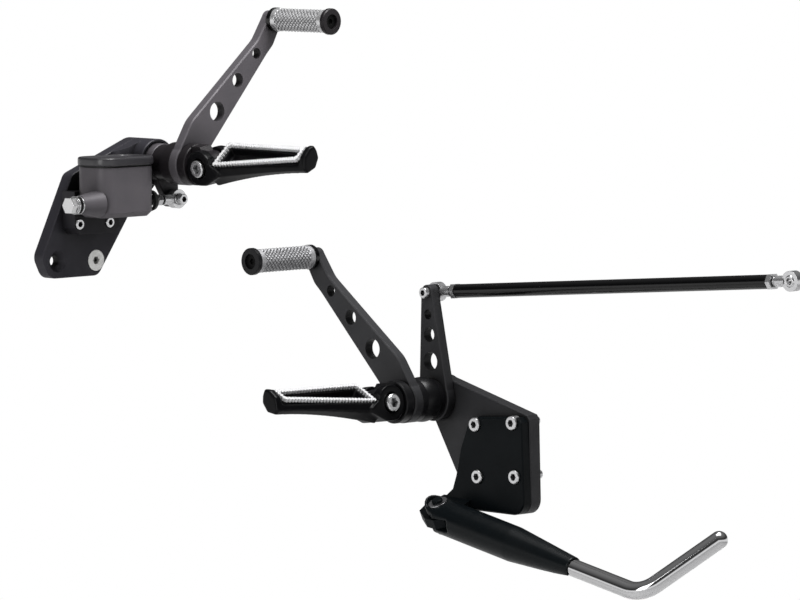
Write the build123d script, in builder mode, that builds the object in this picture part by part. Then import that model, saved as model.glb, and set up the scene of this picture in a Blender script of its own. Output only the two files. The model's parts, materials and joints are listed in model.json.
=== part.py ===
from build123d import *
import math
import os

os.makedirs("parts", exist_ok=True)

# Row frame: +Z up. The left unit points forward along +Y and outward along -X; its pivot axis meets
# the back face of its bracket at the origin. The right unit points forward along +X and outward
# along -Y. Outline points are (forward, up) from the pivot axis of the unit.

# Placing
left_plate_t = 12.7
right_pivot = (-88.0, 299.0, 207.0)
right_boss_h = 28.0
right_plate_t = 12.7
running_gap = 0.03
side_gap = 0.5
seat_gap = 0.02
screw_gap = 0.25
bracket_corner_r = 14.0

# Pivots
spindle_d = 16.0
spindle_tip_d = 10.0
spindle_tip_l = 10.0
spindle_root_l = 9.0
bush_wall = 2.0

# Left stack, outward from the bracket
lever_t = 9.5
lever_boss_l = 6.0
collar_l = 17.0
sleeve_l = 8.0
arm_t = 9.5

# Right stack, outward from the boss
brake_lever_t = 8.0
brake_hub_l = 28.0

# Arm and toe peg
toe_at = (117.0, 126.0)
brake_arm_turn = 3.6
arm_hub_r = 20.0
arm_holes = ((36.5, 46.0, 9.3), (65.0, 73.0, 6.8), (91.0, 96.0, 5.2))
arm_edge = 1.2
toe_pin_d = 8.0
toe_sleeve_d = 22.0
toe_sleeve_l = 69.0
toe_collar_l = 4.0
toe_ring_l = 5.0
toe_ring_d = 25.0

# Peg
peg_pivot_out = 27.0
peg_turn = 8.0
peg_lift = 2.5
tongue_w = 14.0
tongue_r = 13.5
ear_r = 16.5
ear_half_w = 17.0
peg_bolt_d = 10.0
peg_bolt_head_d = 16.0
peg_bolt_head_h = 8.0
peg_l = 136.0
peg_lip_l = 7.0
peg_lip_round = 1.2
tread_start = 14.0
tread_end = 127.0
tread_slope = 34.0
tread_height = 10.3
tread_inner_w = 32.0
tread_outer_w = 18.0
tread_bar = 5.4
tread_t = 3.0
tread_seat = 1.8
tooth_pitch = 3.8
tooth_h = 1.7

# Shift lever and rod
lever_eye = (7.0, 97.0)
lever_root_r = 21.0
lever_eye_r = 7.2
lever_holes = ((1.6, 34.0, 8.6), (3.5, 58.5, 6.7), (5.0, 77.0, 4.6))
rod_d = 12.7
rod_l = 381.0
rod_slope = 4.7
joint_d = 18.0
joint_w = 8.0
joint_ball_w = 10.0
joint_bore_d = 6.2
joint_bolt_d = 6.0
joint_shank_d = 8.0
joint_shank_from_eye = 21.0
nut_af = 13.0
nut_t = 5.0

# Kickstand
stand_plate_t = 9.5
stand_pivot = (-42.0, -33.0, -104.0)
stand_tilt = 25.5
stand_dip = 11.0
barrel_d = 33.0
barrel_l = 93.0
cone_l = 75.0
cone_end_d = 19.0
foot_d = 16.0
foot_run = 83.0
foot_bend_r = 26.0
foot_tip_out = 48.5
foot_tip_up = 48.5
pin_d = 10.0
knuckle_r = 12.5
knuckle_h = 27.0
clip_d = 18.0
clip_t = 1.3
clip_gap = 0.1
plate_screw_d = 8.0
plate_screw_head_d = 13.0
plate_screw_head_h = 8.0
plate_screw_head_out = 2.5

# Master cylinder
bore_d = 14.0
cyl_rear = -92.5
cyl_front = -24.2
cyl_in = -17.0
cyl_out = 26.0
cyl_top = -1.0
cyl_bottom = -48.0
push_eye = (10.7, -34.5)
flange_t = 17.0
flange_rear = -96.0
flange_front = -40.0
flange_bottom = -64.5
flange_corner = 6.0
flange_screw_d = 6.0
flange_screws = ((-90.0, -54.8), (-52.0, -54.8))
frame_holes = ((-102.4, -90.0), (-54.0, -91.5))
frame_screw_d = 10.0
frame_screw_head_d = 20.0

left_lever_out = side_gap + lever_t
left_arm_in = left_lever_out + lever_boss_l + collar_l + sleeve_l
left_arm_out = left_arm_in + arm_t
right_arm_in = side_gap + brake_lever_t + brake_hub_l
right_arm_out = right_arm_in + arm_t
bush_d = spindle_d + 2 * bush_wall


def left_side(out):
    """Sketch plane of the left unit, facing inward, out mm from the bracket's outer face."""
    return Plane(origin=(-left_plate_t - out, 0, 0), x_dir=(0, 1, 0), z_dir=(1, 0, 0))


def right_side(out):
    """Sketch plane of the right unit, facing outward, out mm from the boss face."""
    x, y, z = right_pivot
    return Plane(origin=(x, y - out, z), x_dir=(1, 0, 0), z_dir=(0, -1, 0))


def moved(plane, forward, up):
    """Same plane with its origin moved within itself."""
    return Plane(plane.origin + plane.x_dir * forward + plane.y_dir * up, plane.x_dir, plane.z_dir)


def to_right(part, shift=0.0):
    """Mirror image of a left piece, placed on the right unit and moved outward by shift."""
    x, y, z = right_pivot
    swap = Plane(origin=(0, 0, 0), z_dir=(1, -1, 0))
    return part.mirror(swap).moved(Location((x, y + left_plate_t - shift, z)))


def clocked(part):
    """Piece of the brake arm turned about its pivot to the angle its arm is clamped at."""
    return part.rotate(Axis(right_pivot, (0, -1, 0)), brake_arm_turn)


def save(part, name):
    part.label = name
    export_step(part, "parts/" + name + ".step")


def ring(plane, amount, outer_d, inner_d, edge=0.0):
    """Plain ring on a plane, with both outer rims chamfered."""
    with BuildPart() as body:
        with BuildSketch(plane):
            Circle(outer_d / 2)
            Circle(inner_d / 2, mode=Mode.SUBTRACT)
        extrude(amount=amount)
        if edge:
            rims = body.edges().filter_by(GeomType.CIRCLE).filter_by(lambda e: e.radius > outer_d / 2 - 0.01)
            chamfer(rims, edge)
    return body.part


def cap_screw(seat, head_d, head_h, shank_d, shank_l, socket_af):
    """Socket head screw; the plane lies under the head and faces the driver."""
    with BuildPart() as screw:
        with BuildSketch(seat):
            Circle(head_d / 2)
        extrude(amount=head_h)
        rims = screw.edges().filter_by(GeomType.CIRCLE)
        top_rim = rims.filter_by(lambda e: (e.arc_center - seat.origin).length > head_h / 2)
        chamfer(top_rim, 0.06 * head_d)
        with BuildSketch(seat):
            Circle(shank_d / 2)
        extrude(amount=-shank_l)
        with BuildSketch(seat.offset(head_h)):
            RegularPolygon(socket_af / 2, 6, major_radius=False)
        extrude(amount=-0.55 * head_h, mode=Mode.SUBTRACT)
    return screw.part


def hex_nut(plane, amount, across_flats, hole_d):
    with BuildPart() as nut:
        with BuildSketch(plane):
            RegularPolygon(across_flats / 2, 6, major_radius=False)
            Circle(hole_d / 2, mode=Mode.SUBTRACT)
        extrude(amount=amount)
    return nut.part


def joint_body(plane, shank_l, shank_d):
    """Rod end; the plane lies in the middle of the eye, facing along its bore, shank along its x."""
    along = Plane(origin=plane.origin, x_dir=plane.z_dir, z_dir=plane.x_dir)
    with BuildPart() as body:
        with BuildSketch(along.offset(joint_d / 2 - 2)):
            Circle(joint_w / 2 + 1)
        extrude(amount=joint_shank_from_eye - joint_d / 2 - 1, taper=0)
        with BuildSketch(along.offset(joint_d / 2)):
            Circle(shank_d / 2)
        extrude(amount=shank_l)
        with BuildSketch(plane.offset(-joint_w / 2)):
            Circle(joint_d / 2)
        extrude(amount=joint_w)
        with Locations(plane.location):
            Sphere(joint_d / 2 - 2.5 + running_gap, mode=Mode.SUBTRACT)
    return body.part


def joint_ball(plane):
    """Truncated ball with a bolt bore, in the middle of the eye."""
    with BuildPart() as ball:
        with Locations(plane.location):
            Sphere(joint_d / 2 - 2.5)
        split(bisect_by=plane.offset(joint_ball_w / 2), keep=Keep.BOTTOM)
        split(bisect_by=plane.offset(-joint_ball_w / 2), keep=Keep.TOP)
        with BuildSketch(plane.offset(-joint_ball_w)):
            Circle(joint_bore_d / 2)
        extrude(amount=2 * joint_ball_w, mode=Mode.SUBTRACT)
    return ball.part


# Left bracket

bracket_outline = [(-1.0, 20.9), (-112.0, -8.0), (-115.0, -12.0), (-117.5, -99.0), (-36.0, -99.0),
                   (-22.1, -67.7), (7.0, -19.5)]
plate_screws = [(-55.3, -20.0), (-102.1, -15.1), (-58.8, -67.6), (-105.5, -64.0)]
with BuildPart() as left_bracket:
    with BuildSketch(left_side(0)) as outline:
        Polygon(*bracket_outline, align=None)
        fillet(outline.vertices().sort_by_distance((-117.5, -99.0))[0], bracket_corner_r)
        Circle(21.0)
    extrude(amount=left_plate_t)
    chamfer(left_bracket.faces().sort_by(Axis.X)[0].edges(), 0.8)
    with BuildSketch(left_side(0)):
        Circle(spindle_tip_d / 2)
    extrude(amount=spindle_root_l, mode=Mode.SUBTRACT)
    with BuildSketch(left_side(0)):
        with Locations(*plate_screws):
            Circle(plate_screw_d / 2 + screw_gap)
    extrude(amount=left_plate_t, mode=Mode.SUBTRACT)
save(left_bracket.part, "left_bracket")


# Left stack

spindle_l = left_arm_out + side_gap
with BuildPart() as left_spindle:
    with BuildSketch(left_side(0)):
        Circle(spindle_d / 2)
    extrude(amount=-spindle_l)
    with BuildSketch(left_side(0)):
        Circle(spindle_tip_d / 2 - seat_gap)
    extrude(amount=spindle_root_l - side_gap)
    with BuildSketch(left_side(spindle_l)):
        Circle(spindle_tip_d / 2 - seat_gap)
    extrude(amount=-spindle_tip_l)
save(left_spindle.part, "left_spindle")

left_washer = ring(left_side(0), -(side_gap - 0.1), 34.0, spindle_d + 0.4)
save(left_washer, "left_washer")

left_bush = ring(left_side(side_gap), -(left_arm_out - side_gap), bush_d - 2 * seat_gap, spindle_d + 2 * running_gap)
save(left_bush, "left_bush")

with BuildPart() as shift_lever:
    with BuildSketch(left_side(side_gap)):
        Circle(lever_root_r)
        Polygon((-0.93 * lever_root_r, 6.0), (-0.86 * lever_root_r, 14.0), (lever_eye[0] - lever_eye_r, lever_eye[1]),
                (lever_eye[0] + lever_eye_r, lever_eye[1]), (0.77 * lever_root_r, 18.0), (0.86 * lever_root_r, 6.0),
                align=None)
        with Locations(lever_eye):
            Circle(lever_eye_r)
    extrude(amount=-lever_t)
    chamfer(shift_lever.faces().sort_by(Axis.X)[0].edges(), 0.9)
    with BuildSketch(left_side(side_gap)):
        Circle(bush_d / 2)
        for forward, up, radius in lever_holes:
            with Locations((forward, up)):
                Circle(radius)
        with Locations(lever_eye):
            Circle(joint_bolt_d / 2 + 0.1)
    extrude(amount=-lever_t, mode=Mode.SUBTRACT)
save(shift_lever.part, "shift_lever")

collar_in = left_lever_out
with BuildPart() as shift_collar:
    with BuildSketch(Plane(origin=(-left_plate_t, 0, 0), x_dir=(-1, 0, 0), z_dir=(0, 1, 0))):
        with BuildLine():
            Polyline((collar_in, bush_d / 2), (collar_in, 18.0), (collar_in + lever_boss_l, 18.0),
                     (collar_in + lever_boss_l, 19.0))
            Spline((collar_in + lever_boss_l, 19.0), (collar_in + lever_boss_l + 5.0, 20.5),
                   (collar_in + lever_boss_l + collar_l, 18.6))
            Polyline((collar_in + lever_boss_l + collar_l, 18.6), (collar_in + lever_boss_l + collar_l, bush_d / 2),
                     (collar_in, bush_d / 2))
        make_face()
    revolve(axis=Axis((0, 0, 0), (-1, 0, 0)))
save(shift_collar.part, "shift_collar")

shift_sleeve = ring(left_side(left_arm_in - sleeve_l), -sleeve_l, 2 * arm_hub_r, bush_d, 0.8)
save(shift_sleeve, "shift_sleeve")

toe_x, toe_y = toe_at
toe_boss_r = 8.5
arm_corners = (((4.0, 40.5), 30.0), ((toe_x - 23.0, toe_y - 17.5), 30.0), ((toe_x - 12.0, toe_y - 32.0), 25.0),
               ((toe_x - 3.0, toe_y - 24.0), 12.0), ((31.0, 18.0), 20.0))
with BuildPart() as shift_arm:
    with BuildSketch(left_side(left_arm_in)) as outline:
        Polygon((-0.8 * arm_hub_r, 0.5 * arm_hub_r), (-0.55 * arm_hub_r, 0.95 * arm_hub_r), (4.0, 40.5),
                (toe_x - 23.0, toe_y - 17.5), (toe_x - 7.0, toe_y + 4.5), (toe_x + 8.0, toe_y - 3.0),
                (toe_x + 4.0, toe_y - 12.5), (toe_x - 3.0, toe_y - 24.0), (toe_x - 12.0, toe_y - 32.0),
                (31.0, 18.0), (0.8 * arm_hub_r, 0.1 * arm_hub_r), align=None)
        for corner, radius in arm_corners:
            fillet(outline.vertices().sort_by_distance(corner)[0], radius)
        Circle(arm_hub_r)
        with Locations(toe_at):
            Circle(toe_boss_r)
    extrude(amount=-arm_t)
    chamfer(shift_arm.faces().sort_by(Axis.X)[0].edges(), arm_edge)
    with BuildSketch(left_side(left_arm_in)):
        Circle(bush_d / 2)
        for forward, up, radius in arm_holes:
            with Locations((forward, up)):
                Circle(radius)
        with Locations(toe_at):
            Circle(toe_pin_d / 2)
    extrude(amount=-arm_t, mode=Mode.SUBTRACT)
save(shift_arm.part, "shift_arm")
save(clocked(to_right(shift_arm.part, right_arm_in - left_arm_in)), "brake_arm")


# Toe pegs

def toe_plane(out):
    return moved(left_side(left_arm_out + out), *toe_at)


toe_l = toe_collar_l + toe_sleeve_l
with BuildPart() as toe_pin:
    with BuildSketch(toe_plane(-arm_t)):
        Circle(toe_pin_d / 2 - seat_gap)
    extrude(amount=-(arm_t + toe_l))
    with BuildSketch(toe_plane(0)):
        Circle(11.5)
    extrude(amount=-toe_collar_l)
    with BuildSketch(toe_plane(toe_l)):
        Circle(2.5)
    extrude(amount=18.0, mode=Mode.SUBTRACT)
toe_sleeve = ring(toe_plane(toe_collar_l), -toe_sleeve_l, toe_sleeve_d, toe_pin_d, 0.8)
toe_ring = ring(toe_plane(toe_l), -toe_ring_l, toe_ring_d, 14.0, 0.9)
with BuildPart() as toe_bolt:
    with BuildSketch(toe_plane(toe_l)):
        Circle(7.0 - seat_gap)
    extrude(amount=-2.5)
    with BuildSketch(toe_plane(toe_l + 2.5)):
        RegularPolygon(2.5, 6, major_radius=False)
    extrude(amount=2.0, mode=Mode.SUBTRACT)
    with BuildSketch(toe_plane(toe_l)):
        Circle(2.5 - seat_gap)
    extrude(amount=14.0)
for piece, name in ((toe_pin.part, "toe_pin"), (toe_sleeve, "toe_sleeve"), (toe_ring, "toe_end_ring"),
                    (toe_bolt.part, "toe_bolt")):
    save(piece, "shift_" + name)
    save(clocked(to_right(piece, right_arm_out - left_arm_out)), "brake_" + name)


# Foot pegs, drawn for the left unit with the bolt axis at the origin of a frame: x outward, y up

def turned(part, side):
    """Piece turned about the pivot axis by the angle its mount is clamped at."""
    return part.rotate(Axis((0, 0, 0), (1, 0, 0)), side * peg_turn)


mount_in = left_arm_out + side_gap
pivot_x = -left_plate_t - mount_in - peg_pivot_out
mount_flange_t = peg_pivot_out - ear_r - side_gap
peg_side = Plane(origin=(pivot_x, 0, 0), x_dir=(-1, 0, 0), z_dir=(0, 1, 0))
with BuildPart() as peg_mount:
    with BuildSketch(left_side(mount_in)):
        Circle(19.5)
    extrude(amount=-mount_flange_t)
    chamfer(peg_mount.edges().filter_by(GeomType.CIRCLE), 0.8)
    with BuildSketch(peg_side.offset(-tongue_w / 2)):
        Circle(tongue_r)
        Polygon((mount_flange_t - peg_pivot_out - 1.0, -ear_r), (-6.0, -ear_r), (0, -tongue_r), (0, tongue_r),
                (-2.0, tongue_r), (-6.0, 18.5), (mount_flange_t - peg_pivot_out - 1.0, 18.5), align=None)
    extrude(amount=tongue_w)
    with BuildSketch(peg_side.offset(-tongue_w)):
        Circle(peg_bolt_d / 2 + running_gap)
    extrude(amount=2 * tongue_w, mode=Mode.SUBTRACT)
    with BuildSketch(left_side(mount_in)):
        Circle(spindle_tip_d / 2)
    extrude(amount=-spindle_tip_l - 1.0, mode=Mode.SUBTRACT)

# Rear-top, front-top, front, bottom-front, bottom-rear and rear corners at each station
peg_sections = (
    (tread_start, ((-14.3, 0.6), (14.3, 19.9), (16.5, 6.0), (9.0, -15.0), (-8.0, -18.0), (-16.0, -8.0))),
    (0.32 * peg_l, ((-12.9, 1.0), (12.9, 18.4), (14.8, 7.0), (8.0, -8.5), (-6.0, -13.0), (-14.0, -6.5))),
    (0.65 * peg_l, ((-10.6, 1.7), (10.6, 16.0), (12.6, 7.0), (6.5, -4.5), (-5.5, -7.8), (-11.6, -4.0))),
    (peg_l, ((-8.3, 2.3), (8.3, 13.5), (11.0, 5.5), (5.5, -3.0), (-5.0, -6.2), (-9.4, -2.6))),
)
# The same corners where the tip stands up as a stop for the boot
lip_corners = ((-8.8, 3.0), (-7.2, 9.5), (0.5, 16.6), (7.0, 18.0), (10.0, 12.5), (11.0, 5.5), (5.5, -3.0),
               (-5.0, -6.2), (-9.4, -2.6))
tread_mid = Plane(origin=(pivot_x - tread_start, 0, tread_height), x_dir=(-1, 0, -0.0186),
                  z_dir=(0.0186, -math.tan(math.radians(tread_slope)), 1.0))
tread_l = tread_end - tread_start


def tread_shape(grow, near=0.0, far=0.0):
    """Corners of the tread's trapezoid, moved outward by grow, with its ends moved by near and far."""
    return [(-near, tread_inner_w / 2 + grow), (-near, -tread_inner_w / 2 - grow),
            (tread_l + far, -tread_outer_w / 2 - grow), (tread_l + far, tread_outer_w / 2 + grow)]


def toothed(corners, inward):
    """Outline with small teeth along its two long sides and its wide end."""
    points = []
    for i, (ax, ay) in enumerate(corners):
        bx, by = corners[(i + 1) % len(corners)]
        length = math.hypot(bx - ax, by - ay)
        count = max(2, round(length / tooth_pitch))
        nx, ny = (by - ay) / length * tooth_h * inward, -(bx - ax) / length * tooth_h * inward
        for k in range(count):
            points.append((ax + (bx - ax) * k / count, ay + (by - ay) * k / count))
            mid = (k + 0.5) / count
            points.append((ax + (bx - ax) * mid + nx, ay + (by - ay) * mid + ny))
    return points


with BuildPart() as peg_body:
    for station, corners in peg_sections:
        with BuildSketch(Plane(origin=(pivot_x - station, 0, 0), x_dir=(0, 1, 0), z_dir=(1, 0, 0))):
            Polygon(*corners, align=None)
    loft()
    with BuildSketch(Plane(origin=(pivot_x - peg_l, 0, 0), x_dir=(0, 1, 0), z_dir=(1, 0, 0))):
        Polygon(*lip_corners, align=None)
    extrude(amount=peg_lip_l)
    chamfer(peg_body.faces().sort_by(Axis.X)[0].edges(), peg_lip_round)
    with BuildSketch(peg_side.offset(-ear_half_w)):
        Circle(ear_r)
        Polygon((0, -ear_r), (0.5 * tread_start, -ear_r), (tread_start + 12.0, -8.0), (tread_start + 12.0, -4.0),
                (tread_start, 4.0), (12.0, 11.5), (0, ear_r), align=None)
    extrude(amount=2 * ear_half_w)
    with BuildSketch(peg_side.offset(-tongue_w / 2 - 0.3)):
        Circle(tongue_r + 1.0)
        Polygon((0, -2 * ear_r), (-2 * ear_r, -2 * ear_r), (-2 * ear_r, 2 * ear_r), (tread_start - 1.0, 2 * ear_r),
                (tread_start - 1.0, 0), (0, 0), align=None)
    extrude(amount=tongue_w + 0.6, mode=Mode.SUBTRACT)
    with BuildSketch(tread_mid.offset(-tread_seat)):
        Polygon(*tread_shape(0.9, 0.3, 0.3), align=None)
    extrude(amount=tread_seat + 6.0, mode=Mode.SUBTRACT)
    with BuildSketch(tread_mid):
        Polygon(*tread_shape(-tread_bar, -tread_bar, -tread_bar), align=None)
    extrude(amount=-9.0, taper=12, mode=Mode.SUBTRACT)
    with BuildSketch(peg_side.offset(-ear_half_w - 1)):
        Circle(peg_bolt_d / 2 + 0.1)
    extrude(amount=2 * ear_half_w + 2, mode=Mode.SUBTRACT)
    with BuildSketch(peg_side.offset(-ear_half_w)):
        Circle(peg_bolt_head_d / 2 + 1.2)
    extrude(amount=5.0, mode=Mode.SUBTRACT)

with BuildPart() as peg_tread:
    with BuildSketch(tread_mid.offset(-tread_seat + 0.05)):
        Polygon(*toothed(tread_shape(0.0), -1), align=None)
        Polygon(*toothed(tread_shape(-tread_bar, -tread_bar, -tread_bar), 1), align=None, mode=Mode.SUBTRACT)
    extrude(amount=tread_t)

bolt_seat = Plane(origin=(pivot_x, -ear_half_w + 5.0, 0), x_dir=(1, 0, 0), z_dir=(0, -1, 0))
peg_bolt = cap_screw(bolt_seat, peg_bolt_head_d, peg_bolt_head_h, peg_bolt_d, 2 * ear_half_w - 6.0, 8.0)

peg_shift = right_arm_out - left_arm_out
lift_axis = Axis((pivot_x, 0, 0), (0, 1, 0))
for piece, name in ((peg_mount.part, "peg_mount"), (peg_body.part, "peg_body"), (peg_tread.part, "peg_tread"),
                    (peg_bolt, "peg_bolt")):
    if name in ("peg_body", "peg_tread"):
        piece = piece.rotate(lift_axis, peg_lift)
    save(turned(piece, -1), "left_" + name)
    save(to_right(turned(piece, 1), peg_shift), "right_" + name)


# Shift rod with a joint at each end

slope = math.radians(rod_slope)
rod_dir = Vector(0, -math.cos(slope), math.sin(slope))
front_eye = Vector(-left_plate_t - side_gap + joint_ball_w / 2, lever_eye[0], lever_eye[1])
rod_start = joint_shank_from_eye + nut_t
rear_eye = front_eye + rod_dir * (2 * rod_start + rod_l)
thread_depth = 14.0
joint_shank_l = rod_start - joint_d / 2 + thread_depth
front_joint = Plane(origin=front_eye, x_dir=rod_dir, z_dir=(1, 0, 0))
rear_joint = Plane(origin=rear_eye, x_dir=-rod_dir, z_dir=(1, 0, 0))
save(joint_body(front_joint, joint_shank_l, joint_shank_d), "front_rod_end")
save(joint_ball(front_joint), "front_rod_end_ball")
save(joint_body(rear_joint, joint_shank_l, joint_shank_d), "rear_rod_end")
save(joint_ball(rear_joint), "rear_rod_end_ball")

rod_plane = Plane(origin=front_eye + rod_dir * rod_start, x_dir=(1, 0, 0), z_dir=rod_dir)
with BuildPart() as shift_rod:
    with BuildSketch(rod_plane):
        Circle(rod_d / 2)
    extrude(amount=rod_l)
    chamfer(shift_rod.edges().filter_by(GeomType.CIRCLE), 0.6)
    with BuildSketch(rod_plane):
        Circle(joint_shank_d / 2 + seat_gap)
    extrude(amount=thread_depth + 1, mode=Mode.SUBTRACT)
    with BuildSketch(rod_plane.offset(rod_l)):
        Circle(joint_shank_d / 2 + seat_gap)
    extrude(amount=-thread_depth - 1, mode=Mode.SUBTRACT)
save(shift_rod.part, "shift_rod")
save(hex_nut(rod_plane, -nut_t, nut_af, joint_shank_d + 2 * seat_gap), "front_jam_nut")
save(hex_nut(rod_plane.offset(rod_l), nut_t, nut_af, joint_shank_d + 2 * seat_gap), "rear_jam_nut")

lever_nut_t = 3.0
lever_face = moved(left_side(left_lever_out), *lever_eye)
lever_seat = Plane(origin=lever_face.origin, x_dir=(0, 1, 0), z_dir=(-1, 0, 0))
save(cap_screw(lever_seat, 10.0, 5.0, joint_bolt_d, lever_t + joint_ball_w + lever_nut_t, 5.0), "shift_rod_bolt")
lever_nut_plane = moved(left_side(side_gap - joint_ball_w), *lever_eye)
save(hex_nut(lever_nut_plane, lever_nut_t, 10.0, joint_bolt_d + 2 * seat_gap), "shift_rod_bolt_nut")


# Kickstand

tilt = math.radians(stand_tilt)
dip = math.radians(stand_dip)
pin_dir = Vector(-math.sin(tilt), 0, math.cos(tilt))
swing_out = Vector(-math.cos(tilt), 0, -math.sin(tilt))
leg_dir = Vector(0, -math.cos(dip), -math.sin(dip))
pin_plane = Plane(origin=stand_pivot, x_dir=swing_out, z_dir=pin_dir)
leg_plane = Plane(origin=stand_pivot, x_dir=(1, 0, 0), z_dir=leg_dir)
slot_w = stand_plate_t + 2 * side_gap
slot_l = 20.0
plate_outline = [(-47.9, -13.8), (-108.0, -9.5), (-113.5, -14.0), (-117.5, -99.0), (-20.0, -99.0), (-4.8, -98.0),
                 (-14.2, -90.8), (-25.7, -81.6), (-30.4, -68.2), (-36.2, -42.9)]
with BuildPart() as kickstand_plate:
    with BuildSketch(left_side(0)) as outline:
        Polygon(*plate_outline, align=None)
        fillet(outline.vertices().sort_by_distance((-117.5, -99.0))[0], bracket_corner_r)
        fillet(outline.vertices().sort_by_distance((-47.9, -13.8))[0], 7)
    extrude(amount=-stand_plate_t)
    chamfer(kickstand_plate.faces().sort_by(Axis.X)[0].edges(), 1.2)
    with BuildSketch(pin_plane.offset(-stand_plate_t / 2)):
        Polygon((-27.0, -20.0), (-8.0, -27.0), (3.0, -25.0), (14.0, -9.0), (16.0, 4.0), (11.0, 13.0), (-2.0, 17.0),
                (-27.0, 17.0), align=None)
    extrude(amount=stand_plate_t)
    with BuildSketch(pin_plane.offset(-stand_plate_t)):
        Circle(pin_d / 2 + running_gap)
    extrude(amount=2 * stand_plate_t, mode=Mode.SUBTRACT)
    with BuildSketch(left_side(0)):
        with Locations(*plate_screws):
            Circle(plate_screw_d / 2 + screw_gap)
    extrude(amount=-stand_plate_t, mode=Mode.SUBTRACT)
    with BuildSketch(left_side(stand_plate_t)):
        with Locations(*plate_screws):
            Circle(plate_screw_head_d / 2 + 2 * screw_gap)
    extrude(amount=plate_screw_head_h - plate_screw_head_out, mode=Mode.SUBTRACT)
save(kickstand_plate.part, "kickstand_plate")

plate_screw_past = 10.5
plate_screw_neck_d = 7.2
screw_seat_out = stand_plate_t - plate_screw_head_h + plate_screw_head_out
with BuildPart() as kickstand_plate_screws:
    for forward, up in plate_screws:
        seat = Plane(origin=(-left_plate_t - screw_seat_out, forward, up), x_dir=(0, 1, 0), z_dir=(-1, 0, 0))
        past_plates = screw_seat_out + left_plate_t + side_gap
        add(cap_screw(seat, plate_screw_head_d, plate_screw_head_h, plate_screw_neck_d, past_plates, 6.0))
        with BuildSketch(seat.offset(-past_plates)):
            Circle(plate_screw_d / 2)
        extrude(amount=side_gap - plate_screw_past)
save(kickstand_plate_screws.part, "kickstand_plate_screws")

foot_socket_l = 15.0
with BuildPart() as kickstand_barrel:
    with BuildSketch(leg_plane):
        Circle(barrel_d / 2)
    extrude(amount=barrel_l)
    with BuildSketch(leg_plane.offset(barrel_l)):
        Circle(barrel_d / 2)
    with BuildSketch(leg_plane.offset(barrel_l + cone_l)):
        Circle(cone_end_d / 2)
    loft()
    with BuildSketch(leg_plane.offset(-barrel_d)):
        Circle(barrel_d / 2)
    extrude(amount=barrel_d)
    with BuildSketch(pin_plane.offset(-barrel_d)):
        with BuildLine():
            CenterArc((0, 0), knuckle_r, 180, 180)
            Polyline((knuckle_r, 0), (barrel_d, knuckle_r), (barrel_d, 2 * foot_run + barrel_l),
                     (-barrel_d, 2 * foot_run + barrel_l), (-barrel_d, knuckle_r), (-knuckle_r, 0))
        make_face()
    extrude(amount=2 * barrel_d, mode=Mode.INTERSECT)
    with BuildSketch(pin_plane.offset(-slot_w / 2)):
        with Locations((0, slot_l - 30.0)):
            Rectangle(3 * barrel_d, 60.0)
    extrude(amount=slot_w, mode=Mode.SUBTRACT)
    with BuildSketch(pin_plane.offset(-barrel_d)):
        Circle(pin_d / 2 + seat_gap)
    extrude(amount=2 * barrel_d, mode=Mode.SUBTRACT)
    for face, outward in ((knuckle_h / 2, 10.0), (-knuckle_h / 2, -10.0)):
        with BuildSketch(pin_plane.offset(face)):
            Circle(clip_d / 2 + 1.0)
        extrude(amount=outward, mode=Mode.SUBTRACT)
    with BuildSketch(leg_plane.offset(barrel_l + cone_l)):
        Circle(foot_d / 2 + seat_gap)
    extrude(amount=-foot_socket_l - 0.5, mode=Mode.SUBTRACT)
save(kickstand_barrel.part, "kickstand_barrel")

foot_from = Vector(*stand_pivot) + leg_dir * (barrel_l + cone_l - foot_socket_l)
foot_bend = foot_from + leg_dir * (foot_socket_l + foot_run)
foot_tip = foot_bend + Vector(foot_tip_out, -foot_tip_out, foot_tip_up)
with BuildPart() as kickstand_foot:
    with BuildLine() as foot_path:
        FilletPolyline(foot_from, foot_bend, foot_tip, radius=foot_bend_r)
    with BuildSketch(Plane(origin=foot_from, x_dir=(1, 0, 0), z_dir=leg_dir)):
        Circle(foot_d / 2)
    sweep(path=foot_path.wires()[0])
    with Locations(foot_tip):
        Sphere(foot_d / 2)
save(kickstand_foot.part, "kickstand_foot")

pin_past = 4.0
pin_half = knuckle_h / 2 + pin_past
with BuildPart() as kickstand_pin:
    with BuildSketch(pin_plane.offset(-pin_half)):
        Circle(pin_d / 2)
    extrude(amount=2 * pin_half)
    chamfer(kickstand_pin.edges().filter_by(GeomType.CIRCLE), 0.6)
save(kickstand_pin.part, "kickstand_pin")
with BuildPart() as kickstand_clips:
    for start in (knuckle_h / 2 + clip_gap, -knuckle_h / 2 - clip_gap - clip_t):
        add(ring(pin_plane.offset(start), clip_t, clip_d, pin_d + 2 * seat_gap))
save(kickstand_clips.part, "kickstand_clips")


# Right bracket

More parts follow.
